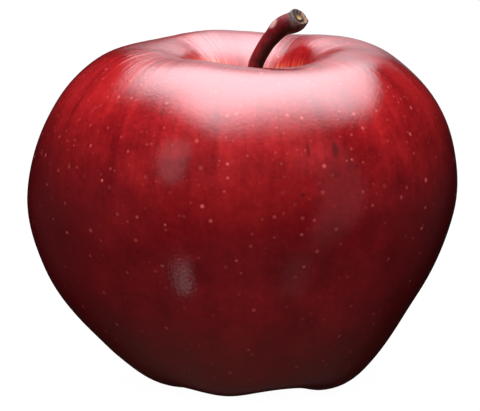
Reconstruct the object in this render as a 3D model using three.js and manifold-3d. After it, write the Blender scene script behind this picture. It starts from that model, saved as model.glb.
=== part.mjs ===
// A ripe red eating apple of the tall, five-lobed kind, standing on the lobes round its eye.
// It is three grown pieces: the fruit itself, the woody stalk in the hollow at its top,
// and the dried calyx, the remains of the flower, in the hollow underneath.
//
// Millimetres. +Z is up, +X is to the right and -Y is the front.
// The origin lies under the middle of the fruit, on the surface that it stands on.

import * as THREE from 'three';
import { mergeVertices } from 'three/addons/utils/BufferGeometryUtils.js';
import Module from 'manifold-3d';

// ---------------------------------------------------------------- driving dimensions

const WIDEST_RADIUS = 38.8;
const WIDEST_HEIGHT = 36.0;
const CREST_RADIUS = 15.4; // the crown of the shoulders, round the stalk's hollow
const CREST_HEIGHT = 61.9;
const CAVITY_FLOOR = 46.4; // the bottom of the stalk's hollow
const FOOT_RADIUS = 13.4; // where the lobes stand
const EYE_FLOOR = 7.6; // the top of the hollow underneath
const GAP = 0.32; // what a seated piece keeps from the flesh round it

// The five lobes, each seen at its foot and at its shoulder.
// Bearings are in degrees from the front towards the right.
// foot: 1 where the lobe stands down on the surface. swell: how far it fills out the flank.
// rib: how far it rises on the shoulder, in millimetres.
const LOBES = [
  { bearing: -21, foot: 0.8, swell: 0.2, ribBearing: -24, rib: 1.2 },
  { bearing: 71, foot: 1.0, swell: 0.55, ribBearing: 62, rib: 1.5 },
  { bearing: 140, foot: 1.0, swell: 0.5, ribBearing: 121, rib: 1.25 },
  { bearing: 200, foot: 1.0, swell: 1.0, ribBearing: 201, rib: 1.0 },
  { bearing: 277, foot: 0.95, swell: 1.4, ribBearing: 294, rib: 1.7 },
];
const LOBE_SHARPNESS = 8;
const RIB_SHARPNESS = 12;

const FOOT_RISE = 2.1; // how far the underside rises between two feet
const FOOT_FADE_HEIGHT = 9;
const FOOT_FADE_WIDTH = 8;

const SWELL_SHARE = 0.147; // how far a lobe swells the flank, as a share of the radius
const SWELL_HEIGHT = 18.5;
const SWELL_FADE = 22;
const SWELL_FROM_RADIUS = 8;
const SWELL_FULL_RADIUS = 24;

const RIB_FADE = 13.5; // how far the ribs run out over the shoulders
const RIB_FROM_HEIGHT = 45;
const RIB_BLEND = 3;
const SHOULDER_TILT = 1.2; // the front of the shoulders is lower than the back

// Where the wall of the stalk's hollow is steep: it is drawn towards one radius.
const STEEP_WALLS = [
  { bearing: -111, radius: 10.2, share: 0.5 },
  { bearing: 122, radius: 12.3, share: 0.6 },
];
const STEEP_SHARPNESS = 9;
const STEEP_RADII = [13, 24]; // full within the first, nothing past the second
const STEEP_HEIGHTS = [47.5, 52]; // nothing below the first, full above the second

// A ridge, and the furrow beside it, that run into the hollow from the left.
const FOLDS = [
  { bearing: -118, rise: 0.35 },
  { bearing: -137, rise: -0.35 },
];
const FOLD_SHARPNESS = 30;
const FOLD_RADIUS = 15;
const FOLD_FADE = 7;

const LEAN = -0.8; // the axis leans this far to the left by half height
const LEAN_HEIGHT = 37;
const SWAY = -0.45; // the lower flank hangs this far over to the left
const SWAY_HEIGHT = 16;
const SWAY_FADE = 6.5;
const CENTRE_X = 1.32; // brings the middle of the fruit over the origin
const CENTRE_Y = -0.66;

// Half of the fruit's outline as radius and height, from the eye round to the stalk's hollow.
const FRUIT_OUTLINE = [
  [0, EYE_FLOOR],
  [3.0, 7.1],
  [6.2, 4.3],
  [9.8, 1.0],
  [FOOT_RADIUS, -0.15],
  [18.5, 1.5],
  [23.1, 5.8],
  [29.2, 14.2],
  [34.7, 23.9],
  [WIDEST_RADIUS, WIDEST_HEIGHT],
  [38.2, 46.4],
  [34.1, 55.2],
  [27.2, 61.5],
  [20.5, 63.05],
  [CREST_RADIUS, CREST_HEIGHT],
  [10.7, 59.4],
  [7.2, 55.2],
  [4.3, 50.6],
  [2.3, 47.4],
  [0, CAVITY_FLOOR],
];
const FRUIT_SIDES = 80;
const STEPS_PER_POINT = 3;

// The stalk's middle line, from its root in the flesh to the scar where it left the twig.
const STALK_LINE = [
  [-0.2, 0, 43.4],
  [-0.1, 0, 48.5],
  [0.35, 0, 54.5],
  [1.15, 0, 60.1],
  [2.7, 0, 63.4],
  [4.6, -0.1, 66.0],
  [6.45, -0.4, 67.85],
  [8.5, -0.8, 68.7],
  [9.35, -1.4, 69.6],
];
// Its radius at shares of its length: a slim shaft that flares into a knob.
const STALK_OUTLINE = [
  [1.2, 0],
  [1.25, 0.12],
  [1.32, 0.4],
  [1.4, 0.58],
  [1.45, 0.7],
  [1.6, 0.79],
  [1.85, 0.87],
  [2.0, 0.93],
  [2.0, 0.97],
];
const STALK_STEPS = 36;
const STALK_SIDES = 18;
const SCAR_RIM = 1.75;
const SCAR_DISH_RADIUS = 1.2;
const SCAR_DISH = 0.012; // depths in the scar, as shares of the stalk's length
const BUD_SCAR = { share: 0.84, side: -2.0, height: 0.3, width: 0.04, spread: 5 };

// The calyx: a short stub in the flesh, five sepals that close and then curl out, and stamens.
const STUB_RADIUS = 1.9;
const STUB_TOP = 9.4;
const STUB_BOTTOM = 6.1;
const STUB_SIDES = 20;
const SEPAL_COUNT = 5;
const SEPAL_LINE = [
  [1.1, 6.6],
  [2.7, 6.0],
  [3.4, 4.8],
  [2.9, 3.5],
  [2.1, 2.5],
  [2.6, 1.6],
];
const SEPAL_THICKNESS = 0.7;
const SEPAL_OUTLINE = [
  [0.6, 0.03],
  [1.35, 0.2],
  [1.4, 0.42],
  [1.0, 0.66],
  [0.6, 0.85],
  [0.38, 0.97],
];
const SEPAL_STEPS = 12;
const SEPAL_SIDES = 10;
const SEPAL_TURN = 12; // degrees from the first lobe's bearing
const STAMEN_COUNT = 10;
const STAMEN_RING = 1.15;
const STAMEN_LENGTH = 3.4;
const STAMEN_RADIUS = 0.28;
const STAMEN_SPLAY = 0.16;
const STYLE_RADIUS = 0.45;
const STYLE_LENGTH = 4.0;

// ---------------------------------------------------------------- solids

const wasm = await Module();
wasm.setup();

// Makes a closed three.js geometry a solid that can be joined and cut.
function solid(geometry) {
  const bare = geometry.clone();
  bare.deleteAttribute('normal');
  bare.deleteAttribute('uv');
  const merged = mergeVertices(bare, 1e-4);
  const corners = merged.index.array;
  const triangles = [];
  for (let i = 0; i < corners.length; i += 3) {
    const [a, b, c] = corners.subarray(i, i + 3);
    if (a !== b && b !== c && c !== a) triangles.push(a, b, c);
  }
  return new wasm.Manifold(new wasm.Mesh({
    numProp: 3,
    vertProperties: new Float32Array(merged.attributes.position.array),
    triVerts: new Uint32Array(triangles),
  }));
}

function geometryOf(body) {
  const mesh = body.getMesh();
  const geometry = new THREE.BufferGeometry();
  geometry.setAttribute('position', new THREE.BufferAttribute(mesh.vertProperties, 3));
  geometry.setIndex(new THREE.BufferAttribute(mesh.triVerts, 1));
  geometry.computeVertexNormals();
  return geometry;
}

// Moves every corner of a geometry to where place() puts it.
function reshape(geometry, place) {
  const position = geometry.attributes.position;
  const point = new THREE.Vector3();
  for (let i = 0; i < position.count; i += 1) {
    point.fromBufferAttribute(position, i);
    place(point);
    position.setXYZ(i, point.x, point.y, point.z);
  }
  return geometry;
}

// A turned body whose profile heights run from 0 to 1, laid along a curve.
// Its sections stand square to the curve, with their flat side along `side`.
function layAlong(curve, profile, sides, side, section = (x, y) => [x, y]) {
  const turned = new THREE.LatheGeometry(profile, sides);
  return reshape(turned, (point) => {
    const share = THREE.MathUtils.clamp(point.y, 0, 1);
    const tangent = curve.getTangentAt(share);
    const up = new THREE.Vector3().crossVectors(side, tangent).normalize();
    const across = new THREE.Vector3().crossVectors(tangent, up);
    const [x, y] = section(point.x, point.z, share);
    point.copy(curve.getPointAt(share)).addScaledVector(across, x).addScaledVector(up, y);
  });
}

// ---------------------------------------------------------------- fruit

// A smooth bump round a bearing, 1 at its middle.
function bump(bearing, middle, sharpness) {
  return Math.exp(sharpness * (Math.cos(bearing - THREE.MathUtils.degToRad(middle)) - 1));
}

function sumOver(features, value) {
  return features.reduce((sum, feature) => sum + value(feature), 0);
}

function fade(distance, width) {
  return Math.exp(-((distance / width) ** 2));
}

// The radius of the hollow's wall once it is drawn steep.
function steepened(radius, height, bearing) {
  const inside = (1 - THREE.MathUtils.smoothstep(radius, ...STEEP_RADII))
    * THREE.MathUtils.smoothstep(height, ...STEEP_HEIGHTS);
  return radius + inside * sumOver(STEEP_WALLS, (wall) => (
    (wall.radius - radius) * wall.share * bump(bearing, wall.bearing, STEEP_SHARPNESS)));
}

// Turns a corner of the plain turned body into one of the lobed fruit.
function lobed(point) {
  const bearing = Math.atan2(point.x, -point.y);
  const radius = Math.hypot(point.x, point.y);
  const height = point.z;

  const feet = sumOver(LOBES, (lobe) => lobe.foot * bump(bearing, lobe.bearing, LOBE_SHARPNESS));
  const underside = fade(height, FOOT_FADE_HEIGHT) * fade(radius - FOOT_RADIUS, FOOT_FADE_WIDTH);
  const lift = FOOT_RISE * underside * (1 - feet);

  const swells = sumOver(LOBES, (lobe) => lobe.swell * bump(bearing, lobe.bearing, LOBE_SHARPNESS));
  const outward = THREE.MathUtils.clamp(
    (radius - SWELL_FROM_RADIUS) / (SWELL_FULL_RADIUS - SWELL_FROM_RADIUS), 0, 1);
  const flank = fade(height - SWELL_HEIGHT, SWELL_FADE) * outward;
  const swollen = steepened(radius, height, bearing) * (1 + SWELL_SHARE * flank * (swells - 0.5));

  const ribs = sumOver(LOBES, (lobe) => lobe.rib * bump(bearing, lobe.ribBearing, RIB_SHARPNESS));
  const folds = sumOver(FOLDS, (fold) => fold.rise * bump(bearing, fold.bearing, FOLD_SHARPNESS));
  const ribbed = fade(radius - CREST_RADIUS, RIB_FADE) * (ribs - SHOULDER_TILT * Math.cos(bearing))
    + fade(radius - FOLD_RADIUS, FOLD_FADE) * folds;
  const z = height + lift + ribbed / (1 + Math.exp((RIB_FROM_HEIGHT - height) / RIB_BLEND));

  const lean = LEAN * (z - LEAN_HEIGHT) / LEAN_HEIGHT + SWAY * fade(z - SWAY_HEIGHT, SWAY_FADE);
  point.set(swollen * Math.sin(bearing) + lean, -swollen * Math.cos(bearing), z);
}

function turnedFruit() {
  const outline = new THREE.SplineCurve(FRUIT_OUTLINE.map(([r, z]) => new THREE.Vector2(r, z)));
  const profile = outline.getPoints((FRUIT_OUTLINE.length - 1) * STEPS_PER_POINT);
  profile[0].x = 0;
  profile[profile.length - 1].x = 0;
  return new THREE.LatheGeometry(profile, FRUIT_SIDES).rotateX(Math.PI / 2);
}

// The surface that the fruit stands on: the lobes' feet are worn flat where they meet it.
function ground() {
  const size = 4 * WIDEST_RADIUS;
  return solid(new THREE.BoxGeometry(size, size, size).translate(0, 0, -size / 2));
}

function fruitGeometry() {
  const body = solid(reshape(turnedFruit(), lobed));
  return geometryOf(body.subtract(ground()).subtract(stalkBody(GAP)).subtract(stub(GAP)));
}

// ---------------------------------------------------------------- stalk

// `room` makes the stalk thicker all over, which gives the socket that it grows out of.
function stalkBody(room = 0) {
  const curve = new THREE.CatmullRomCurve3(STALK_LINE.map((p) => new THREE.Vector3(...p)));
  const length = curve.getLength();
  if (room > 0) {
    const below = curve.getPointAt(0).addScaledVector(curve.getTangentAt(0), -room);
    curve.points[0].copy(below);
    curve.updateArcLengths();
  }
  const shaft = new THREE.SplineCurve(STALK_OUTLINE.map(([r, s]) => new THREE.Vector2(r + room, s)));
  const profile = [
    new THREE.Vector2(0, 0),
    ...shaft.getPoints(STALK_STEPS),
    new THREE.Vector2(SCAR_RIM, 1),
    new THREE.Vector2(SCAR_DISH_RADIUS, 1 - SCAR_DISH),
    new THREE.Vector2(SCAR_DISH_RADIUS / 2, 1 - SCAR_DISH),
    new THREE.Vector2(0, 1 - SCAR_DISH / 2),
  ];
  const budScar = (x, y, share) => {
    const turn = Math.atan2(y, x) - BUD_SCAR.side;
    const near = fade(share - BUD_SCAR.share, BUD_SCAR.width);
    const swell = BUD_SCAR.height * near * Math.exp(BUD_SCAR.spread * (Math.cos(turn) - 1));
    const grown = 1 + swell / Math.max(Math.hypot(x, y), 1);
    return [x * grown, y * grown];
  };
  const side = new THREE.Vector3(0, 1, 0);
  return solid(layAlong(curve, profile, STALK_SIDES, side, budScar));
}

// ---------------------------------------------------------------- calyx

function stub(room = 0) {
  const radius = STUB_RADIUS + room;
  const top = STUB_TOP + room;
  const height = top - STUB_BOTTOM;
  const cylinder = new THREE.CylinderGeometry(radius, radius, height, STUB_SIDES);
  return solid(cylinder.rotateX(Math.PI / 2).translate(eyeX(), 0, STUB_BOTTOM + height / 2));
}

// The eye's axis leans with the fruit.
function eyeX() {
  return LEAN * (EYE_FLOOR - LEAN_HEIGHT) / LEAN_HEIGHT;
}

function sepal() {
  const curve = new THREE.CatmullRomCurve3(SEPAL_LINE.map(([r, z]) => new THREE.Vector3(r, 0, z)));
  const edge = new THREE.SplineCurve(SEPAL_OUTLINE.map(([w, s]) => new THREE.Vector2(w, s)));
  const profile = [new THREE.Vector2(0, 0), ...edge.getPoints(SEPAL_STEPS), new THREE.Vector2(0, 1)];
  const side = new THREE.Vector3(0, 1, 0);
  return layAlong(curve, profile, SEPAL_SIDES, side, (x, y) => {
    const half = Math.hypot(x, y);
    const thin = half > 0 ? Math.min(1, SEPAL_THICKNESS / 2 / half) : 1;
    return [x, y * thin];
  });
}

function filament(radius, length, ring, splay, bearing) {
  const hair = new THREE.CylinderGeometry(radius, radius * 0.8, length, 5);
  hair.rotateX(Math.PI / 2).translate(0, 0, -length / 2);
  hair.rotateY(-splay).translate(ring, 0, STUB_BOTTOM + 2 * radius);
  return hair.rotateZ(bearing);
}

function calyxGeometry() {
  const firstBearing = THREE.MathUtils.degToRad(LOBES[0].bearing + SEPAL_TURN);
  let body = stub();
  for (let i = 0; i < SEPAL_COUNT; i += 1) {
    const bearing = firstBearing + (i * 2 * Math.PI) / SEPAL_COUNT;
    body = body.add(solid(sepal().rotateZ(bearing).translate(eyeX(), 0, 0)));
  }
  for (let i = 0; i < STAMEN_COUNT; i += 1) {
    const bearing = firstBearing + (i * 2 * Math.PI) / STAMEN_COUNT;
    const stamen = filament(STAMEN_RADIUS, STAMEN_LENGTH, STAMEN_RING, STAMEN_SPLAY, bearing);
    body = body.add(solid(stamen.translate(eyeX(), 0, 0)));
  }
  const style = filament(STYLE_RADIUS, STYLE_LENGTH, 0, 0, 0);
  return geometryOf(body.add(solid(style.translate(eyeX(), 0, 0))));
}

// ---------------------------------------------------------------- the apple

const SKIN = { color: 0x8e1a20, roughness: 0.25, metalness: 0 };
const WOOD = { color: 0x3d1510, roughness: 0.55, metalness: 0 };
const DRY_LEAF = { color: 0x5a4430, roughness: 0.85, metalness: 0 };

function piece(name, geometry, finish) {
  const mesh = new THREE.Mesh(geometry, new THREE.MeshStandardMaterial(finish));
  mesh.name = name;
  mesh.position.set(CENTRE_X, CENTRE_Y, 0);
  return mesh;
}

const apple = new THREE.Group();
apple.add(piece('fruit', fruitGeometry(), SKIN));
apple.add(piece('stalk', geometryOf(stalkBody()), WOOD));
apple.add(piece('calyx', calyxGeometry(), DRY_LEAF));

export default apple;
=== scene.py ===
"""A ripe red apple with its stalk and dried calyx, on a plain pale floor.

Shapes are worked out in millimetres and made metres when a piece is finished.
The frame is the apple's own: +Z up, -Y the front, the origin under its middle.
"""

import math
import random

import bmesh
import bpy
from mathutils import Matrix, Vector, noise


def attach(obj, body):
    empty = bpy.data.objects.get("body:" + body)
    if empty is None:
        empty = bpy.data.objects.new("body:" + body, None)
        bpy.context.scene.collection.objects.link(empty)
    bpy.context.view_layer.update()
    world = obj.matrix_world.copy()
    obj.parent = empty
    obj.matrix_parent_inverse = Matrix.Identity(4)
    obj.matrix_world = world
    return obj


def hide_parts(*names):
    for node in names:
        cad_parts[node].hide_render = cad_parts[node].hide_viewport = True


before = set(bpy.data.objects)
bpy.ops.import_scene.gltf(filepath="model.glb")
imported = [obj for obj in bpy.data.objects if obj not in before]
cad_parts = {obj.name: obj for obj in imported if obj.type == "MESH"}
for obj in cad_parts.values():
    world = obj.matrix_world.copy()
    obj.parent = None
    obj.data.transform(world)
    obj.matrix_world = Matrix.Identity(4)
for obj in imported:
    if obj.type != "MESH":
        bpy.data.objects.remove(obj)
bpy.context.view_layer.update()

MM = 0.001
UP = Vector((0, 0, 1))

# ---------------------------------------------------------------- the fruit's sizes

WIDEST_RADIUS = 38.8
WIDEST_HEIGHT = 36.0
CREST_RADIUS = 15.4
CREST_HEIGHT = 61.9
CAVITY_FLOOR = 46.4
FOOT_RADIUS = 13.4
EYE_FLOOR = 7.6

# Each lobe: bearing of its foot, foot, swell of the flank, bearing and height of its rib.
LOBES = [
    (-21, 0.8, 0.2, -24, 1.2),
    (71, 1.0, 0.55, 62, 1.5),
    (140, 1.0, 0.5, 121, 1.25),
    (200, 1.0, 1.0, 201, 1.0),
    (277, 0.95, 1.4, 294, 1.7),
]
LOBE_SHARPNESS = 8
RIB_SHARPNESS = 12

FOOT_RISE = 2.1
FOOT_FADE_HEIGHT = 9
FOOT_FADE_WIDTH = 8
SWELL_SHARE = 0.147
EVEN_SWELL = 0.5
SWELL_HEIGHT = 18.5
SWELL_FADE = 22
SWELL_FROM_RADIUS = 8
SWELL_FULL_RADIUS = 24
RIB_FADE = 13.5
RIB_FROM_HEIGHT = 45
RIB_BLEND = 3
SHOULDER_TILT = 1.2
# Where the wall of the stalk's hollow is steep: bearing, radius that it is drawn to, share.
STEEP_WALLS = [(-111, 10.2, 0.5), (122, 12.3, 0.6)]
STEEP_SHARPNESS = 9
STEEP_RADII = (13, 24)
STEEP_HEIGHTS = (47.5, 52)
# A ridge, and the furrow beside it, that run into the hollow: bearing and rise.
FOLDS = [(-118, 0.35), (-137, -0.35)]
FOLD_SHARPNESS = 30
FOLD_RADIUS = 15
FOLD_FADE = 7
LEAN = -0.8
LEAN_HEIGHT = 37
SWAY = -0.45
SWAY_HEIGHT = 16
SWAY_FADE = 6.5
CENTRE_X = 1.32
CENTRE_Y = -0.66

FRUIT_OUTLINE = [
    (0, EYE_FLOOR), (3.0, 7.1), (6.2, 4.3), (9.8, 1.0), (FOOT_RADIUS, -0.15),
    (18.5, 1.5), (23.1, 5.8), (29.2, 14.2), (34.7, 23.9), (WIDEST_RADIUS, WIDEST_HEIGHT),
    (38.2, 46.4), (34.1, 55.2), (27.2, 61.5), (20.5, 63.05), (CREST_RADIUS, CREST_HEIGHT),
    (10.7, 59.4), (7.2, 55.2), (4.3, 50.6), (2.3, 47.4), (0, CAVITY_FLOOR),
]
FRUIT_SIDES = 288
STEPS_PER_POINT = 9

# ---------------------------------------------------------------- small tools


def spline(points, steps):
    """A smooth run through the points, with `steps` to each stretch."""
    ends = [points[0], *points, points[-1]]
    run = []
    for i in range(len(points) - 1):
        a, b, c, d = (Vector(p) for p in ends[i:i + 4])
        for k in range(steps):
            t = k / steps
            bend = 2 * a - 5 * b + 4 * c - d
            twist = 3 * b - a - 3 * c + d
            run.append((2 * b + (c - a) * t + bend * t ** 2 + twist * t ** 3) / 2)
    return run + [Vector(points[-1])]


def fade(distance, width):
    """1 at no distance, falling to 0 over a few widths."""
    return math.exp(-(distance / width) ** 2)


def bump_at(bearing, middle, sharpness):
    """1 at the middle bearing, which is in degrees, falling to 0 round it."""
    return math.exp(sharpness * (math.cos(bearing - math.radians(middle)) - 1))


def ease(value, low, high):
    """0 up to low and 1 from high on, eased between."""
    share = min(max((value - low) / (high - low), 0), 1)
    return share * share * (3 - 2 * share)


def spun(outline, sides):
    """Spins an outline of (radius, height) all the way round the upright axis."""
    bm = bmesh.new()
    row = [bm.verts.new((0, -radius, height)) for radius, height in outline]
    edges = [bm.edges.new(pair) for pair in zip(row, row[1:])]
    bmesh.ops.spin(bm, geom=row + edges, cent=(0, 0, 0), axis=UP, dvec=(0, 0, 0),
                   angle=2 * math.pi, steps=sides, use_merge=True, use_duplicate=False)
    bmesh.ops.remove_doubles(bm, verts=bm.verts, dist=1e-5)
    return bm


def turned(outline, sides):
    """A closed body of an outline that begins and ends on the axis, its faces pointing outwards."""
    bm = spun(outline, sides)
    bmesh.ops.recalc_face_normals(bm, faces=bm.faces)
    return bm


def smooth_object(bm, name, material):
    """Makes the bmesh a smooth object in the scene."""
    for face in bm.faces:
        face.smooth = True
    mesh = bpy.data.meshes.new(name)
    bm.to_mesh(mesh)
    bm.free()
    mesh.materials.append(material)
    made = bpy.data.objects.new(name, mesh)
    bpy.context.scene.collection.objects.link(made)
    return made


def finished(bm, name, material, node=None):
    """Makes the bmesh a piece in metres that rides on the apple."""
    bmesh.ops.scale(bm, vec=(MM, MM, MM), verts=bm.verts)
    piece = smooth_object(bm, name, material)
    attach(piece, "root")
    if node:
        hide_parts(node)


# ---------------------------------------------------------------- shader tools


class Wire:
    """A shader socket. Arithmetic on it adds Math nodes."""

    def __init__(self, finish, socket):
        self.finish = finish
        self.socket = socket

    def math(self, operation, *others):
        values = dict(enumerate((self, *others)))
        return self.finish.add("Math", {"operation": operation}, values)

    def reflected(self, operation, other):
        return self.finish.add("Math", {"operation": operation}, {0: other, 1: self})

    def __add__(self, other):
        return self.math("ADD", other)

    __radd__ = __add__

    def __mul__(self, other):
        return self.math("MULTIPLY", other)

    __rmul__ = __mul__

    def __sub__(self, other):
        return self.math("SUBTRACT", other)

    def __rsub__(self, other):
        return self.reflected("SUBTRACT", other)

    def __truediv__(self, other):
        return self.math("DIVIDE", other)

    def __rtruediv__(self, other):
        return self.reflected("DIVIDE", other)

    def __pow__(self, other):
        return self.math("POWER", other)

    def __rpow__(self, other):
        return self.reflected("POWER", other)

    def __abs__(self):
        return self.math("ABSOLUTE")

    def at_least(self, low):
        return self.math("MAXIMUM", low)

    def at_most(self, high):
        return self.math("MINIMUM", high)

    def clamp(self, low, high):
        return self.at_least(low).at_most(high)

    def soft(self, width, power):
        """1 at 0, falling smoothly to 0 past the width on either side."""
        return 0.5 ** ((abs(self) / width) ** power)

    def between(self, low, high):
        """0 at low, 1 at high, eased. Low may be the larger."""
        values = {"Value": self, "From Min": low, "From Max": high}
        return self.finish.add("MapRange", {"interpolation_type": "SMOOTHSTEP"}, values)


def set_stops(ramp, stops):
    """Gives a colour ramp these stops and no others."""
    while len(ramp.elements) > 1:
        ramp.elements.remove(ramp.elements[-1])
    ramp.elements[0].position, ramp.elements[0].color = stops[0]
    for position, colour in stops[1:]:
        ramp.elements.new(position).color = colour


class Finish:
    """The shader of a material or of the world, under construction."""

    def __init__(self, owner):
        self.owner = owner
        owner.use_nodes = True
        self.tree = owner.node_tree
        self.tree.nodes.clear()

    def node(self, kind, settings=None, values=None):
        """Adds a node of this type, with its settings and the values or links of its sockets."""
        node = self.tree.nodes.new("ShaderNode" + kind)
        for name, value in (settings or {}).items():
            if name == "stops":
                set_stops(node.color_ramp, value)
            else:
                setattr(node, name, value)
        for key, value in (values or {}).items():
            if isinstance(value, Wire):
                self.tree.links.new(value.socket, node.inputs[key])
            else:
                node.inputs[key].default_value = value
        return node

    def add(self, kind, settings=None, values=None, output=0):
        """Adds a node and gives back one of its outputs."""
        return Wire(self, self.node(kind, settings, values).outputs[output])

    def place(self):
        """Where a point of the object is, in millimetres."""
        metres = self.add("TexCoord", output="Object")
        return self.add("VectorMath", {"operation": "SCALE"}, {0: metres, "Scale": 1 / MM})

    def stored(self, name):
        """A number that the mesh keeps on its points."""
        return self.add("Attribute", {"attribute_name": name}, output="Fac")

    def parts(self, vector):
        node = self.node("SeparateXYZ", None, {0: vector})
        return [Wire(self, node.outputs[i]) for i in range(3)]

    def join(self, x, y, z):
        return self.add("CombineXYZ", None, {0: x, 1: y, 2: z})

    def dot(self, vector, axis):
        values = {0: vector, 1: axis}
        return self.add("VectorMath", {"operation": "DOT_PRODUCT"}, values, "Value")

    def noise(self, vector, scale, detail, roughness):
        values = {"Vector": vector, "Scale": scale, "Detail": detail, "Roughness": roughness}
        return self.add("TexNoise", None, values)

    def mix(self, factor, a, b):
        """Colour a where factor is 0 and b where it is 1."""
        return self.add("Mix", {"data_type": "RGBA"}, {0: factor, 6: a, 7: b}, output=2)

    def ramp(self, factor, stops):
        return self.add("ValToRGB", {"stops": stops}, {0: factor})

    def bump(self, height, depth):
        """A normal from a height whose unit stands for `depth` metres."""
        return self.add("Bump", None, {"Height": height, "Strength": 1.0, "Distance": depth})

    def done(self, kind, values):
        """Ends the shader with this node, and gives back its material or world."""
        surface = self.add(kind, None, values)
        self.node("Output" + type(self.owner).__name__, None, {"Surface": surface})
        return self.owner


def grey(value):
    return (value, value, value, 1)


# ---------------------------------------------------------------- skin finish

DEEP_MAROON = (0.15, 0.004, 0.0065, 1)
CRIMSON = (0.26, 0.0075, 0.0105, 1)
BRIGHT_RED = (0.39, 0.013, 0.0155, 1)
# Wine red that the painted shade darkens the skin towards.
PAINTED_SHADE_WINE = (0.075, 0.0022, 0.0034, 1)
BROWN_RED = (0.085, 0.012, 0.008, 1)
YELLOW_GREEN = (0.75, 0.52, 0.20, 1)
# Brighter red of the painted light in the stalk's hollow.
HOLLOW_PAINTED_LIGHT_RED = (0.62, 0.028, 0.034, 1)
FLAME_ORANGE = (0.85, 0.30, 0.10, 1)
EYE_GREEN = (0.20, 0.12, 0.03, 1)
SPECK = (0.72, 0.125, 0.115, 1)
BRUISE = (0.05, 0.004, 0.006, 1)

# The way that the painted light faces, and how far painted shade darkens the rest towards wine red.
PAINTED_LIT_WAY = Vector((0.03, -1, 0))
SIDE_SHADE = 0.46
LOW_SHADE = 0.6
FOOT_SHADE = 0.14
MOST_SHADE = 0.94

# Streaks: how close they lie round the fruit and along it, their detail, and a seed.
BROAD_BANDS = (2.2, 0.04, 2.0, 3.7)
FLAMES = (11.0, 0.035, 4.0, 11.3)
FINE_STREAKS = (32.0, 0.06, 3.0, 5.1)
HAIRS = (95.0, 0.11, 2.0, 8.9)
STREAK_ROUGHNESS = 0.55
# Nearer the axis than this, in millimetres, the way out from it no longer counts.
NEAR_AXIS = 0.5

# Patches that run no way in particular: how close they lie, per millimetre, detail, roughness.
MOTTLE = (0.16, 4.0, 0.6)
GRAIN = (0.9, 3.0, 0.65)
PEEL = (1.5, 2.0, 0.5)

# Heights in millimetres between which each look comes in, or radii where the name says so.
STREAKY_HEIGHTS = (22, 52)
EVEN_HEIGHTS = (48, 56)
# Heights of the painted light on the shoulders.
PAINTED_LIGHT_HEIGHTS = (48, 57)
# Heights of the painted shade on the sides, towards the bottom and on the feet.
SIDE_SHADE_HEIGHTS = (60, 45)
LOW_SHADE_HEIGHTS = (58, 34)
FOOT_SHADE_HEIGHTS = (22, 10)
BROWN_HEIGHTS = (20, 3)
EYE_HEIGHTS = (9, 4)
EYE_RADII = (12.5, 6)
HOLLOW_HEIGHTS = (62.5, 50)
HOLLOW_RADII = (13, 3)
HOLLOW_EDGE_RADII = (18, 14)
ABOVE_CORE_HEIGHTS = (40, 44)
LARGE_SPECK_HEIGHTS = (12, 46)
FINE_SPECK_HEIGHTS = (38, 52)
LINED_HEIGHTS = (52, 59)
LINED_RADII = (31, 22)

# Pores that show as pale specks: how close they lie, per millimetre, and their radius.
LARGE_SPECKS = (0.45, 0.34)
FINE_SPECKS = (0.8, 0.2)
SPECK_BLUR = 0.12
SPECK_CORE = 0.2
SPECK_CHANCE = (0.1, 0.7)

# Small healed marks: bearing in degrees, height, half width and half height in millimetres.
MARKS = [(14.3, 41.6, 0.4, 0.32), (16.2, 49.4, 0.3, 1.1), (24.2, 49.2, 0.5, 1.3)]
MARK_STEPS = 8
MARK_EDGE = 2.5
MARK_DEPTH_SHARE = 0.12


def flank_point(bearing, height):
    """About where the flank is, at a bearing in degrees and a height."""
    flank = spline(FRUIT_OUTLINE, MARK_STEPS)
    radius = next(r for r, z in flank if z >= height and r > FOOT_RADIUS)
    turn = math.radians(bearing)
    x = CENTRE_X + radius * math.sin(turn)
    y = CENTRE_Y - radius * math.cos(turn)
    return Vector((x, y, height))


class Skin(Finish):
    """The skin's shader, with the measures and patterns that its layers share."""

    def __init__(self):
        super().__init__(bpy.data.materials.new("apple_skin"))
        self.mm = self.place()
        self.x, self.y, self.z = self.parts(self.mm)

        # The way out from the leaning axis, as a unit direction.
        axis_x = (self.z - LEAN_HEIGHT) * (LEAN / LEAN_HEIGHT) + CENTRE_X
        from_x = self.x - axis_x
        from_y = self.y - CENTRE_Y
        self.radius = (from_x * from_x + from_y * from_y) ** 0.5
        safe = self.radius.at_least(NEAR_AXIS)
        self.way_x = from_x / safe
        self.way_y = from_y / safe
        self.beside = abs(self.way_x).between(0, 0.9)

        self.flames = self.streaks(*FLAMES)
        self.fine = self.streaks(*FINE_STREAKS)
        self.mottle = self.noise(self.mm, *MOTTLE) - 0.5

        # How deep in the stalk's hollow a point is.
        deep = self.z.between(*HOLLOW_HEIGHTS) * 0.5 + self.radius.between(*HOLLOW_RADII) * 0.5
        inside = self.radius.between(*HOLLOW_EDGE_RADII) * self.z.between(*ABOVE_CORE_HEIGHTS)
        self.hollow = deep * inside

    def streaks(self, across, along, detail, seed):
        """Noise drawn out along the fruit, so that it runs from the stalk to the eye."""
        turn_x = self.way_x * across + seed
        vector = self.join(turn_x, self.way_y * across, self.z * along + seed)
        return self.noise(vector, 1.0, detail, STREAK_ROUGHNESS)


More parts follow.
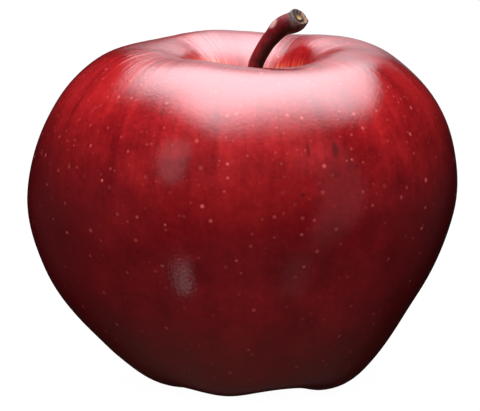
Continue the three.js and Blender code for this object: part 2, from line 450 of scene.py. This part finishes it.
def streaked_red(skin):
    """Streaks of red, with painted light on the shoulders and painted shade, towards wine red, on
    the sides, the back and the bottom.
    """
    broad = skin.streaks(*BROAD_BANDS) - 0.5
    grain = skin.noise(skin.mm, *GRAIN) - 0.5
    mottled = skin.mottle * (1.15 - skin.z.between(*EVEN_HEIGHTS) * 0.7)
    streaky = skin.z.between(*STREAKY_HEIGHTS) * 0.7 + 0.3
    streaked = ((skin.flames - 0.5) * 0.6 + (skin.fine - 0.5) * 0.35) * streaky
    # Painted light: the shoulders are made a brighter red.
    lit_shoulders = skin.z.between(*PAINTED_LIGHT_HEIGHTS) * 0.14
    tone = broad + mottled + grain * 0.6 + 0.5 + streaked + lit_shoulders
    red = skin.ramp(tone, [(0.2, DEEP_MAROON), (0.52, CRIMSON), (0.85, BRIGHT_RED)])

    # Painted shade: darker away from the front, towards the bottom and on the feet.
    facing_lit_way = skin.way_x * PAINTED_LIT_WAY.x + skin.way_y * PAINTED_LIT_WAY.y
    away = facing_lit_way.between(0.9, 0.2) * skin.z.between(*SIDE_SHADE_HEIGHTS)
    low = skin.z.between(*LOW_SHADE_HEIGHTS)
    foot = skin.z.between(*FOOT_SHADE_HEIGHTS)
    shade = away * SIDE_SHADE + low * LOW_SHADE + foot * FOOT_SHADE
    return skin.mix(shade.at_most(MOST_SHADE), red, PAINTED_SHADE_WINE)


def with_brown_foot(skin, colour):
    """Brown on the feet, and green towards the eye."""
    brown = skin.z.between(*BROWN_HEIGHTS) * (skin.flames * 0.8 + 0.35)
    colour = skin.mix(brown.at_most(0.85), colour, BROWN_RED)
    eye = skin.z.between(*EYE_HEIGHTS) * skin.radius.between(*EYE_RADII)
    return skin.mix(eye * (skin.flames * 0.9 + 0.45), colour, EYE_GREEN)


def with_flamed_hollow(skin, colour):
    """Painted light: a brighter red over the stalk's hollow, most on its side walls. Flames of
    orange and yellow-green run up the hollow's wall.
    """
    # Painted light: the hollow's walls are lifted to a brighter red.
    lit_hollow = skin.hollow * 0.55 + skin.hollow.between(0, 0.12) * skin.beside * 0.45
    colour = skin.mix(lit_hollow, colour, HOLLOW_PAINTED_LIGHT_RED)
    flare = skin.hollow * 1.5 + skin.flames * 1.1 + skin.fine * 1.6 + skin.beside * 0.55 - 1.75
    orange = flare.between(0.1, 0.6) * skin.hollow.between(0.02, 0.2) * 0.85
    colour = skin.mix(orange, colour, FLAME_ORANGE)
    ground = skin.hollow * 1.9 + skin.flames * 0.7 - 1.25
    return skin.mix(ground.between(0.0, 0.6), colour, YELLOW_GREEN)


def specks(skin, per_mm, radius):
    """Where specks are, and how pale the nearest one is."""
    cells = skin.node("TexVoronoi", None, {"Vector": skin.mm, "Scale": per_mm})
    chance, pale, large = skin.parts(Wire(skin, cells.outputs["Color"]))
    distance = Wire(skin, cells.outputs["Distance"]) / per_mm / (large * 0.5 + 0.75)
    speck = distance.between(radius + SPECK_BLUR, radius - SPECK_CORE)
    return speck * chance.between(*SPECK_CHANCE), pale


def healed_marks(skin):
    """1 in the middle of each healed mark, falling to 0 round it."""
    marked = 0.0
    for bearing, height, half_width, half_height in MARKS:
        middle = flank_point(bearing, height)
        turn = math.radians(bearing)
        off_x, off_y, off_z = skin.x - middle.x, skin.y - middle.y, skin.z - middle.z
        across = off_x * math.cos(turn) + off_y * math.sin(turn)
        depth = (off_y * MARK_DEPTH_SHARE) ** 2.0
        reach = (across / half_width) ** 2.0 + (off_z / half_height) ** 2.0 + depth
        marked = reach.between(MARK_EDGE, 0.0) + marked
    return marked


def skin_relief(skin, speck, marked):
    """Fine lines that run out over the shoulders, pores as on an orange, and healed marks."""
    lined = skin.z.between(*LINED_HEIGHTS) * skin.radius.between(*LINED_RADII)
    lines = skin.fine * 0.5 + skin.streaks(*HAIRS) * 0.25
    relief = lines * (lined * (skin.beside * 0.13 + 0.08) + 0.012)
    return relief + skin.noise(skin.mm, *PEEL) * 0.022 + speck * 0.012 - marked * 0.02


def skin_finish():
    skin = Skin()
    red = with_flamed_hollow(skin, with_brown_foot(skin, streaked_red(skin)))

    # Pale specks, each a pore healed over. The fine ones lie on the shoulders.
    speck, pale = specks(skin, *LARGE_SPECKS)
    fine_speck, fine_pale = specks(skin, *FINE_SPECKS)
    paler = pale * pale * 0.6 + 0.17
    shown = speck * paler * (skin.z.between(*LARGE_SPECK_HEIGHTS) * 0.65 + 0.35)
    shown = shown + fine_speck * fine_pale * skin.z.between(*FINE_SPECK_HEIGHTS) * 0.55
    red = skin.mix((shown * (1 - skin.hollow)).at_most(1), red, SPECK)

    marked = healed_marks(skin)
    return skin.done("BsdfPrincipled", {
        "Base Color": skin.mix(marked * 0.6, red, BRUISE),
        "Roughness": skin.flames * 0.03 + skin.mottle * 0.04 + 0.09,
        "IOR": 1.5,
        "Normal": skin.bump(skin_relief(skin, speck, marked), MM),
    })


# ---------------------------------------------------------------- fruit

# Pleats round the hollow: where they come in, and how far over the shoulders they run.
PLEAT_HEIGHTS = (44, 56)
PLEAT_RADIUS = 15
PLEAT_FADE = 11
# How far the flesh is uneven, and the heights over which the even feet end.
UNEVENNESS = 0.16
EVEN_FOOT_HEIGHTS = (3, 12)


def steepened(radius, height, bearing):
    """The radius of the hollow's wall once it is drawn steep."""
    inside = (1 - ease(radius, *STEEP_RADII)) * ease(height, *STEEP_HEIGHTS)
    pull = sum(
        (drawn_to - radius) * share * bump_at(bearing, at, STEEP_SHARPNESS)
        for at, drawn_to, share in STEEP_WALLS
    )
    return radius + inside * pull


def lobed(point):
    """Where a corner of the plain turned body goes on the lobed fruit."""
    bearing = math.atan2(point.x, -point.y)
    radius = math.hypot(point.x, point.y)
    height = point.z

    feet = sum(foot * bump_at(bearing, at, LOBE_SHARPNESS) for at, foot, _, _, _ in LOBES)
    underside = fade(height, FOOT_FADE_HEIGHT) * fade(radius - FOOT_RADIUS, FOOT_FADE_WIDTH)
    lift = FOOT_RISE * underside * (1 - feet)

    swells = sum(swell * bump_at(bearing, at, LOBE_SHARPNESS) for at, _, swell, _, _ in LOBES)
    outward = min(max((radius - SWELL_FROM_RADIUS) / (SWELL_FULL_RADIUS - SWELL_FROM_RADIUS), 0), 1)
    flank = fade(height - SWELL_HEIGHT, SWELL_FADE) * outward
    swollen = steepened(radius, height, bearing) * (1 + SWELL_SHARE * flank * (swells - EVEN_SWELL))

    ribs = sum(rib * bump_at(bearing, at, RIB_SHARPNESS) for _, _, _, at, rib in LOBES)
    folds = sum(rise * bump_at(bearing, at, FOLD_SHARPNESS) for at, rise in FOLDS)
    ribbed = fade(radius - CREST_RADIUS, RIB_FADE) * (ribs - SHOULDER_TILT * math.cos(bearing))
    ribbed += fade(radius - FOLD_RADIUS, FOLD_FADE) * folds
    z = height + lift + ribbed / (1 + math.exp((RIB_FROM_HEIGHT - height) / RIB_BLEND))

    lean = LEAN * (z - LEAN_HEIGHT) / LEAN_HEIGHT + SWAY * fade(z - SWAY_HEIGHT, SWAY_FADE)
    x = swollen * math.sin(bearing) + lean + CENTRE_X
    y = -swollen * math.cos(bearing) + CENTRE_Y
    return Vector((x, y, max(z, 0)))


def pleats(point, bearing):
    """Fine folds that run out of the stalk's hollow, and the slight unevenness of the flesh."""
    way = Vector((math.sin(bearing), math.cos(bearing), 0))
    radius = math.hypot(point.x - CENTRE_X, point.y - CENTRE_Y)
    top = ease(point.z, *PLEAT_HEIGHTS) * fade(radius - PLEAT_RADIUS, PLEAT_FADE)
    fold = noise.noise(way * 9 + Vector((0, 0, point.z * 0.03))) * 0.05
    wrinkle = noise.noise(way * 24 + Vector((4, 0, point.z * 0.05))) * 0.03
    uneven = noise.noise(point * 0.09) * UNEVENNESS
    return top * (fold + wrinkle) + uneven * ease(point.z, *EVEN_FOOT_HEIGHTS)


def make_fruit():
    bm = turned(spline(FRUIT_OUTLINE, STEPS_PER_POINT), FRUIT_SIDES)
    bearings = {v: math.atan2(v.co.x, -v.co.y) for v in bm.verts}
    for v in bm.verts:
        v.co = lobed(v.co)
    bm.normal_update()
    moves = {v: v.normal * pleats(v.co, bearings[v]) for v in bm.verts}
    for v, move in moves.items():
        v.co += move
    finished(bm, "apple_skin", skin_finish(), "fruit")


# ---------------------------------------------------------------- stalk

STALK_LINE = [
    (-0.2, 0, 43.4), (-0.1, 0, 48.5), (0.35, 0, 54.5), (1.15, 0, 60.1), (2.7, 0, 63.4),
    (4.6, -0.1, 66.0), (6.45, -0.4, 67.85), (8.5, -0.8, 68.7), (9.35, -1.4, 69.6),
]
STALK_OUTLINE = [
    (1.2, 0), (1.25, 0.12), (1.32, 0.4), (1.4, 0.58), (1.45, 0.7), (1.6, 0.79),
    (1.85, 0.87), (2.0, 0.93), (2.0, 0.97),
]
SCAR_OUTLINE = [
    (1.92, 0.99), (1.75, 1.0), (1.55, 0.996), (1.2, 0.985), (0.95, 0.984),
    (0.8, 0.99), (0.6, 0.992), (0.4, 0.984), (0.2, 0.98), (0, 0.98),
]
SCAR_RADIUS = 1.9
SCAR_SHARE = 0.975
STALK_SIDES = 56
STALK_STEPS = 18
LINE_STEPS = 24
KNOB_SHARES = (0.78, 0.93)
# Within this radius of the axis, in millimetres, the painted shade fades out.
SHADE_SIDE_FROM_RADIUS = 0.3
BUD_SCAR = {"share": 0.84, "side": -2.0, "height": 0.3, "width": 0.04, "spread": 5}
SIDEWAYS = Vector((0, 1, 0))


class Path:
    """A smooth line that is measured by shares of its length."""

    def __init__(self, points, steps):
        self.points = spline(points, steps)
        self.marks = [0.0]
        for a, b in zip(self.points, self.points[1:]):
            self.marks.append(self.marks[-1] + (b - a).length)

    def at(self, share):
        """The point and the direction at a share of the length."""
        goal = min(max(share, 0), 1) * self.marks[-1]
        i = next(k for k in range(len(self.marks) - 1) if self.marks[k + 1] >= goal - 1e-9)
        span = self.marks[i + 1] - self.marks[i]
        inside = (goal - self.marks[i]) / span
        ahead = self.points[i + 1] - self.points[i]
        after = self.points[min(i + 2, len(self.points) - 1)] - self.points[max(i - 1, 0)]
        return self.points[i] + ahead * inside, after.normalized()


def lay_along(bm, path, section=None):
    """Bends a turned body, whose heights run from 0 to 1, along a path."""
    rows = {}
    for v in bm.verts:
        share = v.co.z
        key = round(share, 6)
        if key not in rows:
            middle, ahead = path.at(share)
            up = SIDEWAYS.cross(ahead).normalized()
            rows[key] = (middle, ahead.cross(up), up)
        middle, across, up = rows[key]
        x, y = section(v.co.x, -v.co.y, share) if section else (v.co.x, -v.co.y)
        v.co = middle + across * x + up * y


def bud_swelling(x, y, share):
    """1 on the bud's scar, a little knot on the side of the stalk, falling to 0 round it."""
    turn = math.atan2(y, x) - BUD_SCAR["side"]
    near = fade(share - BUD_SCAR["share"], BUD_SCAR["width"])
    return near * math.exp(BUD_SCAR["spread"] * (math.cos(turn) - 1))


def lee_side(x, y, share):
    """1 on the side of the stalk painted in shade, -1 on the side painted as lit, 0 on its axis."""
    return y / max(math.hypot(x, y), SHADE_SIDE_FROM_RADIUS)


def scar_depth(x, y, share):
    """1 at the middle of the scar on the stalk's end, 0 at its rim and off it."""
    if share <= SCAR_SHARE:
        return 0.0
    return max(1 - math.hypot(x, y) / SCAR_RADIUS, 0)


def stalk_section(x, y, share):
    """Ridges and lumps of the bark, and the swelling of the bud scar."""
    radius = math.hypot(x, y)
    if radius < 1e-6:
        return x, y
    way = Vector((x / radius, y / radius, 0))
    knob = ease(share, *KNOB_SHARES)
    lump = noise.noise(way * 1.1 + Vector((0, 7, share * 5))) * (0.07 + 0.2 * knob)
    ridge = noise.noise(way * 4.5 + Vector((3, 0, share * 2.5))) * 0.06
    grain = noise.noise(way * 11 + Vector((1, 5, share * 12))) * 0.02
    bud = BUD_SCAR["height"] * bud_swelling(x, y, share)
    grown = 1 + (lump + ridge + grain + bud) / max(radius, 1.0) * min(radius, 1.0)
    return x * grown, y * grown


BARK_BLACK = (0.006, 0.0015, 0.002, 1)
BARK_MAROON = (0.045, 0.002, 0.003, 1)
BARK_RED = (0.16, 0.005, 0.008, 1)
DRY_GREY = (0.09, 0.06, 0.055, 1)
# Pale pink of a painted highlight on the bud's swelling.
PAINTED_GLINT_PINK = (0.45, 0.26, 0.24, 1)
RIM_GREY = (0.13, 0.11, 0.10, 1)
RIM_TAN = (0.30, 0.17, 0.12, 1)
RIM_CRACK = (0.03, 0.012, 0.01, 1)
RING_BROWN = (0.05, 0.022, 0.012, 1)
RING_BLACK = (0.02, 0.008, 0.004, 1)
PITH_TAN = (0.22, 0.11, 0.035, 1)
PITH_CREAM = (0.42, 0.30, 0.15, 1)

BARK_BLOTCH = (0.9, 4.0, 0.6)
BARK_GRAIN = (1.3, 4.0, 0.6)
BARK_GRAIN_STRETCH = (3.0, 3.0, 0.7)
BARK_PITS = (6.0, 2.0, 0.5)
DRY_SHARES = (0.88, 0.98)


def scar_colour(bark, scar, lee, blotch, grain):
    """A rim, greyer on the side painted as lit and tan on the shaded side, round a dark ring and a
    cream pith.
    """
    rim = bark.mix((lee + blotch - 0.5).between(-0.4, 0.5), RIM_GREY, RIM_TAN)
    rim = bark.mix(grain.between(0.55, 0.35), rim, RIM_CRACK)
    depth = scar + (blotch - 0.5) * 0.35
    middle = bark.ramp(depth, [
        (0.5, RING_BROWN), (0.62, RING_BLACK), (0.74, PITH_TAN), (0.86, PITH_CREAM),
    ])
    return bark.mix(depth.between(0.3, 0.5), rim, middle)


def bark_finish():
    bark = Finish(bpy.data.materials.new("stalk_bark"))
    mm = bark.place()
    # Which side of the stalk is painted in shade.
    lee = bark.stored("lee")
    scar = bark.stored("scar")
    blotch = bark.noise(mm, *BARK_BLOTCH)
    stretched = bark.add("Mapping", None, {"Vector": mm, "Scale": BARK_GRAIN_STRETCH})
    grain = bark.noise(stretched, *BARK_GRAIN)

    # Painted shade: dark red on the side painted as lit, nearly black on the shaded side.
    tone = blotch * 0.45 + grain * 0.4 - lee * 0.3 + 0.1
    colour = bark.ramp(tone, [(0.35, BARK_BLACK), (0.55, BARK_MAROON), (0.8, BARK_RED)])
    # The knob is greyer and drier near its end, and greyer on the side painted as lit.
    dry = bark.stored("along").between(*DRY_SHARES) * (blotch * 1.6 - lee * 0.4 - 0.2)
    colour = bark.mix(dry.between(0.1, 0.9), colour, DRY_GREY)
    # Painted highlight: a pale pink spot on the bud's swelling.
    colour = bark.mix(bark.stored("bud").between(0.35, 0.8), colour, PAINTED_GLINT_PINK)

    face = scar.between(0.02, 0.1)
    colour = bark.mix(face, colour, scar_colour(bark, scar, lee, blotch, grain))
    relief = grain * 0.06 + bark.noise(mm, *BARK_PITS) * 0.02
    return bark.done("BsdfPrincipled", {
        "Base Color": colour,
        "Roughness": face * 0.3 + blotch * 0.2 + 0.35,
        "IOR": 1.22,
        "Normal": bark.bump(relief, MM),
    })


def keep_value(bm, name, value):
    """Keeps a number on each point, worked out from where it is before the body is bent."""
    layer = bm.verts.layers.float.new(name)
    for v in bm.verts:
        v[layer] = value(v.co.x, -v.co.y, v.co.z)


def make_stalk():
    wood = spline(STALK_OUTLINE, STALK_STEPS)
    outline = [Vector((0, 0)), *wood, *(Vector(p) for p in SCAR_OUTLINE)]
    bm = turned(outline, STALK_SIDES)
    keep_value(bm, "along", lambda x, y, share: share)
    keep_value(bm, "lee", lee_side)
    # The bud's swelling also places the painted highlight.
    keep_value(bm, "bud", bud_swelling)
    keep_value(bm, "scar", scar_depth)
    lay_along(bm, Path(STALK_LINE, LINE_STEPS), stalk_section)
    bmesh.ops.translate(bm, vec=(CENTRE_X, CENTRE_Y, 0), verts=bm.verts)
    finished(bm, "apple_stalk", bark_finish(), "stalk")


# ---------------------------------------------------------------- calyx

SEPAL_COUNT = 5
SEPAL_LINE = [(1.1, 6.6), (2.7, 6.0), (3.4, 4.8), (2.9, 3.5), (2.1, 2.5), (2.6, 1.6)]
SEPAL_OUTLINE = [(0.6, 0), (1.35, 0.2), (1.5, 0.42), (1.05, 0.66), (0.6, 0.85), (0.12, 1)]
SEPAL_TURN = 12
SEPAL_THICKNESS = 0.22
SEPAL_TWIST = 0.25
SEPAL_CUP = 0.55
SEPAL_RAGGEDNESS = 0.12
SEPAL_WAVE = 0.12
SEPAL_GRID = (8, 26)
SEPAL_EDGE_STEPS = 6
SEPAL_SEED = 40

STUB_RADIUS = 1.9
STUB_TOP = 9.4
STUB_BOTTOM = 6.1
STUB_OUTLINE = [
    (0, STUB_BOTTOM + 0.5), (0.7, STUB_BOTTOM + 0.45), (1.3, STUB_BOTTOM + 0.1),
    (1.7, STUB_BOTTOM), (STUB_RADIUS, STUB_BOTTOM + 0.4), (STUB_RADIUS, STUB_TOP - 0.3),
    (STUB_RADIUS - 0.3, STUB_TOP), (0, STUB_TOP),
]
STUB_SIDES = 40

STAMEN_COUNT = 15
STAMEN_RING = 1.1
STAMEN_LENGTHS = (2.4, 3.6)
STAMEN_OUTLINE = [(0, 0), (0.14, 0), (0.1, 0.5), (0.1, 0.82), (0.2, 0.88), (0.2, 0.96), (0, 1)]
STAMEN_SIDES = 8
STAMEN_STEPS = 6
STAMEN_SEED = 90

# The eye lies where the leaning axis comes out.
EYE_X = CENTRE_X + LEAN * (EYE_FLOOR - LEAN_HEIGHT) / LEAN_HEIGHT

DRY_BLOTCH = (0.7, 4.0, 0.6)
DRY_WOOL = (7.0, 3.0, 0.7)
DRY_DARK = (0.035, 0.02, 0.012, 1)
DRY_BROWN = (0.13, 0.085, 0.045, 1)
DRY_PALE = (0.32, 0.25, 0.17, 1)


def dry_finish():
    leaf = Finish(bpy.data.materials.new("dry_calyx"))
    mm = leaf.place()
    blotch = leaf.noise(mm, *DRY_BLOTCH)
    wool = leaf.noise(mm, *DRY_WOOL)
    tone = blotch * 0.6 + wool * 0.5
    return leaf.done("BsdfPrincipled", {
        "Base Color": leaf.ramp(tone, [(0.38, DRY_DARK), (0.56, DRY_BROWN), (0.74, DRY_PALE)]),
        "Roughness": 0.9,
        "Sheen Weight": 0.4,
        "Normal": leaf.bump(wool * 0.06 + blotch * 0.05, MM),
    })


def set_in_eye(bm, turn):
    """Turns a body round the upright axis and moves it to the eye."""
    bmesh.ops.rotate(bm, cent=(0, 0, 0), matrix=Matrix.Rotation(turn, 3, "Z"), verts=bm.verts)
    bmesh.ops.translate(bm, vec=(EYE_X, CENTRE_Y, 0), verts=bm.verts)


def calyx_stub(material):
    bm = turned(STUB_OUTLINE, STUB_SIDES)
    set_in_eye(bm, 0)
    finished(bm, "calyx_stub", material, "calyx")


def sepal(material, index):
    """A thin dry leaf that follows the sepal's line, cupped across and ragged at its edge."""
    path = Path([(r, 0, z) for r, z in SEPAL_LINE], LINE_STEPS)
    edge = spline(SEPAL_OUTLINE, SEPAL_EDGE_STEPS)
    bm = bmesh.new()
    columns, rows = SEPAL_GRID
    bmesh.ops.create_grid(bm, x_segments=columns, y_segments=rows, size=0.5)
    draw = random.Random(SEPAL_SEED + index)
    twist = draw.uniform(-SEPAL_TWIST, SEPAL_TWIST)
    for v in bm.verts:
        across, share = v.co.x * 2, v.co.y + 0.5
        half = next(w for w, s in edge if s >= share - 1e-6)
        ragged = noise.noise(Vector((share * 6, index * 3.1, across)))
        half *= 1 + SEPAL_RAGGEDNESS * ragged
        middle, ahead = path.at(share)
        up = SIDEWAYS.cross(ahead).normalized()
        cup = SEPAL_CUP * half * across * across * (1 - 0.4 * share)
        wave = SEPAL_WAVE * noise.noise(Vector((share * 5, across * 2, index * 1.7)))
        v.co = middle + SIDEWAYS * (half * across + twist * share) - up * (cup + wave)
    bmesh.ops.solidify(bm, geom=bm.faces, thickness=SEPAL_THICKNESS)
    bmesh.ops.recalc_face_normals(bm, faces=bm.faces)
    first_lobe = LOBES[0][0]
    set_in_eye(bm, math.radians(first_lobe + SEPAL_TURN) + index * 2 * math.pi / SEPAL_COUNT)
    finished(bm, f"calyx_sepal_{index + 1}", material)


def stamen(material, index):
    """A withered thread with a small dark head."""
    draw = random.Random(STAMEN_SEED + index)
    ring = STAMEN_RING + draw.uniform(-0.15, 0.15)
    length = draw.uniform(*STAMEN_LENGTHS)
    drift = draw.uniform(-0.5, 0.4)
    root = Vector((ring, 0, STUB_BOTTOM + 0.5))
    tip = root + Vector((drift, draw.uniform(-0.4, 0.4), -length))
    bend = (root + tip) / 2 + Vector((draw.uniform(-0.2, 0.3), draw.uniform(-0.2, 0.2), 0))
    bm = turned(STAMEN_OUTLINE, STAMEN_SIDES)
    lay_along(bm, Path([root, bend, tip], STAMEN_STEPS))
    set_in_eye(bm, index * 2 * math.pi / STAMEN_COUNT)
    finished(bm, f"calyx_stamen_{index + 1}", material)


def make_calyx():
    material = dry_finish()
    calyx_stub(material)
    for index in range(SEPAL_COUNT):
        sepal(material, index)
    for index in range(STAMEN_COUNT):
        stamen(material, index)


# ---------------------------------------------------------------- camera

IMAGE_WIDTH = 480
CAMERA_RISE = 8.9
CAMERA_DISTANCE = 0.7
PIXELS_PER_MM = 5.35
LOOK_AT = Vector((-0.405, -0.66, 33.95)) * MM
SENSOR_WIDTH = 36


def make_camera():
    data = bpy.data.cameras.new("camera")
    data.sensor_fit = "HORIZONTAL"
    data.sensor_width = SENSOR_WIDTH
    data.lens = PIXELS_PER_MM / MM * CAMERA_DISTANCE / IMAGE_WIDTH * SENSOR_WIDTH
    camera = bpy.data.objects.new("camera", data)
    rise = math.radians(CAMERA_RISE)
    back = Vector((0, -math.cos(rise), math.sin(rise)))
    camera.location = LOOK_AT + back * CAMERA_DISTANCE
    camera.rotation_euler = (-back).to_track_quat("-Z", "Y").to_euler()
    bpy.context.scene.collection.objects.link(camera)
    bpy.context.scene.camera = camera


# ---------------------------------------------------------------- lights

# The studio as the apple sees it. Brightness is radiance, where 1 is white paper in full light.
LIGHT_COLOUR = (1.0, 0.985, 1.06)
ROOM_FRONT = 0.008
ROOM_BACK = 0.005
ROOM_SIDES = 0.045
FLOOR_GLOW = 0.06

# The light overhead: how far each side reaches, as a slope from straight up, and its crispness.
OVERHEAD_BRIGHTNESS = 12.5
OVERHEAD_LEFT = (0.62, 4)
OVERHEAD_RIGHT = (0.98, 6)
OVERHEAD_FRONT = (0.6, 2.25)
OVERHEAD_BACK = (0.74, 1.5)
# The upright part of a direction where the light begins, and where it is full.
OVERHEAD_BEGINS = 0.03
OVERHEAD_FULL = 0.08

# Each window: bearing, rise, half width and half height in degrees, brightness, how square
# it is (2 is an oval, 4 nearly a rectangle), and its roll in degrees.
WINDOWS = [
    (-45, 19, 8, 16, 0.88, 3, -4),
    (-55.2, -53, 6.0, 2.5, 0.95, 2, -6),
    (43, -56, 6, 2.8, 0.13, 2, -6),
    (51, -4, 11, 42, 0.20, 3, 0),
    (34, 22, 8, 16, 0.13, 3, 0),
    (173.5, 22, 12, 9, 0.64, 2, 0),
    (177, 8, 5, 12, 0.5, 2, 0),
]
WINDOW_CRISPNESS = 2
# How nearly a direction must point at a window before it shows, and before it shows in full.
WINDOW_BEGINS = 0.05
WINDOW_FULL = 0.2

# Broad lights that show no reflection: bearing, rise, and what falls on a sheet that faces them.
FILLS = [
    (0, 86, 4.2),
    (0, 45, 4.4),
    (-40, 35, 2.0),
    (0, -10, 1.05),
    (-30, -60, 0.3),
    (90, -10, 0.3),
    (-90, -10, 0.3),
    (180, 30, 0.4),
    (180, -15, 1.0),
]
FILL_SIZE = 3.0
FILL_DISTANCE = 2.0
APPLE_MIDDLE = Vector((0, 0, 40)) * MM


def direction(bearing, rise):
    """The way to a place seen from the apple, at a bearing from the front and a rise in degrees."""
    turn, up = math.radians(bearing), math.radians(rise)
    return Vector((math.sin(turn) * math.cos(up), -math.cos(turn) * math.cos(up), math.sin(up)))


def overhead_light(x, y, z):
    """A large soft light above, which reaches back behind the apple and narrows there."""
    # How far right and how far back a direction points, as slopes from straight up.
    height = z.at_least(OVERHEAD_BEGINS)
    right, back = x / height, y / height
    along = back.clamp(-1.5, 1.5)

    width, crispness = OVERHEAD_LEFT
    width = back.between(0, 0.4) * 0.12 + width - (back - 0.6).clamp(0.0, 0.8) * 0.6
    left_edge = (right + along * 0.1 - 0.12).at_most(0.0).soft(width, crispness)

    width, crispness = OVERHEAD_RIGHT
    width = width - back.clamp(0.0, 1.2) * 0.5
    right_edge = (right - along * 0.2 - 0.05).at_least(0.0).soft(width, crispness)
    slope = along * 0.3 + along.clamp(0.0, 0.35) * 0.3
    right_fall = 0.5 ** (right - slope - 0.05).at_least(0.0)

    skew = right.clamp(-0.3, 0.7) * 0.34
    front_edge = (back - skew - 0.08).at_most(0.0).soft(*OVERHEAD_FRONT)
    back_edge = (back - 0.1).at_least(0.0).soft(*OVERHEAD_BACK)
    shape = left_edge * right_fall * right_edge * front_edge * back_edge
    return shape * z.between(OVERHEAD_BEGINS, OVERHEAD_FULL) * OVERHEAD_BRIGHTNESS


def window_light(studio, way, window):
    """An evenly bright window in the room, with soft edges."""
    bearing, rise, half_width, half_height, brightness, square, roll = window
    middle = direction(bearing, rise)
    side = Matrix.Rotation(math.radians(roll), 3, -middle) @ middle.cross(UP).normalized()
    ahead = studio.dot(way, middle)
    across = studio.dot(way, side)
    up = studio.dot(way, side.cross(middle))
    depth = ahead.at_least(WINDOW_BEGINS)
    wide = abs(across / depth / math.tan(math.radians(half_width))) ** square
    tall = abs(up / depth / math.tan(math.radians(half_height))) ** square
    shape = 0.5 ** ((wide + tall) ** WINDOW_CRISPNESS)
    return shape * ahead.between(WINDOW_BEGINS, WINDOW_FULL) * brightness


def fill_light(index, bearing, rise, lit):
    way = direction(bearing, rise)
    data = bpy.data.lights.new(f"fill_{index}", "AREA")
    data.size = FILL_SIZE
    data.energy = lit * math.pi * FILL_DISTANCE ** 2
    light = bpy.data.objects.new(f"fill_{index}", data)
    light.location = APPLE_MIDDLE + way * FILL_DISTANCE
    light.rotation_euler = (-way).to_track_quat("-Z", "Y").to_euler()
    light.visible_camera = False
    light.visible_glossy = False
    bpy.context.scene.collection.objects.link(light)


def make_lights():
    studio = Finish(bpy.data.worlds.new("studio"))
    way = studio.add("TexCoord", output="Generated")
    x, y, z = studio.parts(way)
    front = y.between(0.3, -0.8) * (ROOM_FRONT - ROOM_BACK)
    below = z.between(-0.6, -0.9) * FLOOR_GLOW
    sides = abs(x).between(0.5, 1.0) * z.between(0.5, -0.3) * ROOM_SIDES
    light = overhead_light(x, y, z) + ROOM_BACK + front + below + sides
    for window in WINDOWS:
        light = light + window_light(studio, way, window)
    world = studio.done("Background", {"Color": (*LIGHT_COLOUR, 1), "Strength": light})
    world.cycles_visibility.diffuse = False
    bpy.context.scene.world = world

    for index, fill in enumerate(FILLS):
        fill_light(index + 1, *fill)


# ---------------------------------------------------------------- floor

STAGE_RADIUS = 3.0
STAGE_WALL = 3.0
STAGE_CORNER = 1.0
STAGE_CORNER_STEPS = 8
STAGE_SIDES = 64
STAGE_GLOW = 0.98


def make_stage():
    """A pale floor that sweeps up all round. It throws no light on the apple."""
    turns = [math.pi / 2 * step / STAGE_CORNER_STEPS for step in range(STAGE_CORNER_STEPS + 1)]
    inner = STAGE_RADIUS - STAGE_CORNER
    corner = [
        (inner + STAGE_CORNER * math.sin(turn), STAGE_CORNER - STAGE_CORNER * math.cos(turn))
        for turn in turns
    ]
    paper = Finish(bpy.data.materials.new("pale_paper")).done("BsdfPrincipled", {
        "Base Color": grey(0.04), "Roughness": 1.0, "Specular IOR Level": 0.0,
        "Emission Color": grey(1.0), "Emission Strength": STAGE_GLOW,
    })
    bm = spun([(0, 0), *corner, (STAGE_RADIUS, STAGE_WALL)], STAGE_SIDES)
    floor = smooth_object(bm, "floor", paper)
    floor.visible_diffuse = False
    floor.visible_glossy = False
    floor.visible_shadow = False


# ---------------------------------------------------------------- the scene

make_camera()
make_lights()
make_stage()
make_fruit()
make_stalk()
make_calyx()
bpy.context.scene.view_settings.view_transform = "Standard"
